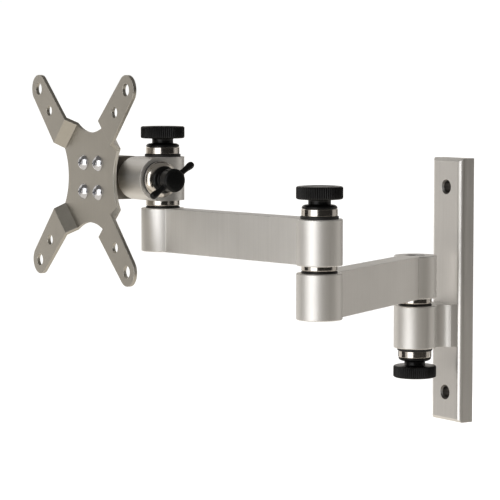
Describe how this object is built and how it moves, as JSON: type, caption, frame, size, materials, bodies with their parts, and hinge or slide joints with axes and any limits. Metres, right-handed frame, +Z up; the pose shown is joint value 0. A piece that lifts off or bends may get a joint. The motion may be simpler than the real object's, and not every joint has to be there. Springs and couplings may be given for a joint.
{
  "type": "full motion tv wall mount",
  "caption": "Full motion wall mount for a flat screen: wall bar, folding double arm with clamping knobs, and an X-shaped screen plate that pans and tilts.",
  "frame": {"origin": "centre of the wall bar's back face, on the wall", "axes": "+Y into the wall, +Z up, +X to the right as seen by a person facing the wall; the screen plate faces -Y"},
  "size_m": [0.2279, 0.1993, 0.2015],
  "materials": {
    "satin_aluminium": "satin, fine brushed",
    "bracket_aluminium": "satin",
    "brushed_plate": "brushed stainless sheet",
    "bright_screws": "bright plated",
    "polished_ring": "polished, turned",
    "black_washer": "matte",
    "nylon": "matte",
    "dark_bolt": "black oxide",
    "black_knob": "moulded, slight sheen",
    "brass_insert": "turned"
  },
  "bodies": {
    "wall": {"wall_bar": "satin_aluminium", "wall_knuckle": "satin_aluminium", "knuckle_screws": "bright_screws", "knuckle_bushes": "nylon", "shoulder_gap_washer": "black_washer", "shoulder_lower_washer": "black_washer", "shoulder_lower_ring": "polished_ring"},
    "lower_arm": {"lower_arm": "satin_aluminium", "shoulder_bolt": "dark_bolt", "shoulder_gap_ring": "polished_ring", "elbow_bolt": "dark_bolt", "elbow_gap_washer": "black_washer"},
    "upper_arm": {"upper_arm": "satin_aluminium", "elbow_bushes": "nylon", "elbow_gap_ring": "polished_ring", "elbow_upper_washer": "black_washer", "elbow_upper_ring": "polished_ring", "pan_bolt": "dark_bolt", "pan_gap_washer": "black_washer"},
    "head": {"head_block": "satin_aluminium", "pan_bushes": "nylon", "tilt_bushes": "nylon", "pan_gap_ring": "polished_ring", "pan_upper_washer": "black_washer", "pan_upper_ring": "polished_ring", "tilt_outer_washer": "black_washer", "tilt_outer_ring": "polished_ring", "tilt_gap_ring": "polished_ring"},
    "screen": {"screen_bracket": "bracket_aluminium", "tilt_gap_washer": "black_washer", "tilt_bolt": "dark_bolt", "screen_plate": "brushed_plate", "plate_screws": "bright_screws"},
    "shoulder_knob": {"shoulder_knob": "black_knob", "shoulder_nut": "brass_insert"},
    "elbow_knob": {"elbow_knob": "black_knob", "elbow_nut": "brass_insert"},
    "pan_knob": {"pan_knob": "black_knob", "pan_nut": "brass_insert"},
    "wing_knob": {"wing_knob": "black_knob", "wing_nut": "brass_insert"}
  },
  "joints": [
    {"name": "shoulder", "type": "hinge", "parent": "wall", "child": "lower_arm", "pos_m": [0, -0.032, 0], "axis": [0, 0, 1], "range_deg": [-115, 55]},
    {"name": "elbow", "type": "hinge", "parent": "lower_arm", "child": "upper_arm", "pos_m": [0.06402, -0.14515, 0], "axis": [0, 0, 1], "range_deg": [-10, 240]},
    {"name": "pan", "type": "hinge", "parent": "upper_arm", "child": "head", "pos_m": [-0.06481, -0.16256, 0], "axis": [0, 0, 1], "range_deg": [-160, 40]},
    {"name": "tilt", "type": "hinge", "parent": "head", "child": "screen", "pos_m": [0, -0.17256, 0.0665], "axis": [1, 0, 0], "range_deg": [-15, 15]},
    {"name": "shoulder_knob_turn", "type": "hinge", "parent": "lower_arm", "child": "shoulder_knob", "pos_m": [0, -0.032, 0], "axis": [0, 0, -1], "range_deg": [0, 720]},
    {"name": "elbow_knob_turn", "type": "hinge", "parent": "lower_arm", "child": "elbow_knob", "pos_m": [0.06402, -0.14515, 0], "axis": [0, 0, 1], "range_deg": [0, 720]},
    {"name": "pan_knob_turn", "type": "hinge", "parent": "upper_arm", "child": "pan_knob", "pos_m": [-0.06481, -0.16256, 0], "axis": [0, 0, 1], "range_deg": [0, 720]},
    {"name": "wing_knob_turn", "type": "hinge", "parent": "screen", "child": "wing_knob", "pos_m": [0, -0.17256, 0.0665], "axis": [1, 0, 0], "range_deg": [0, 720]}
  ]
}
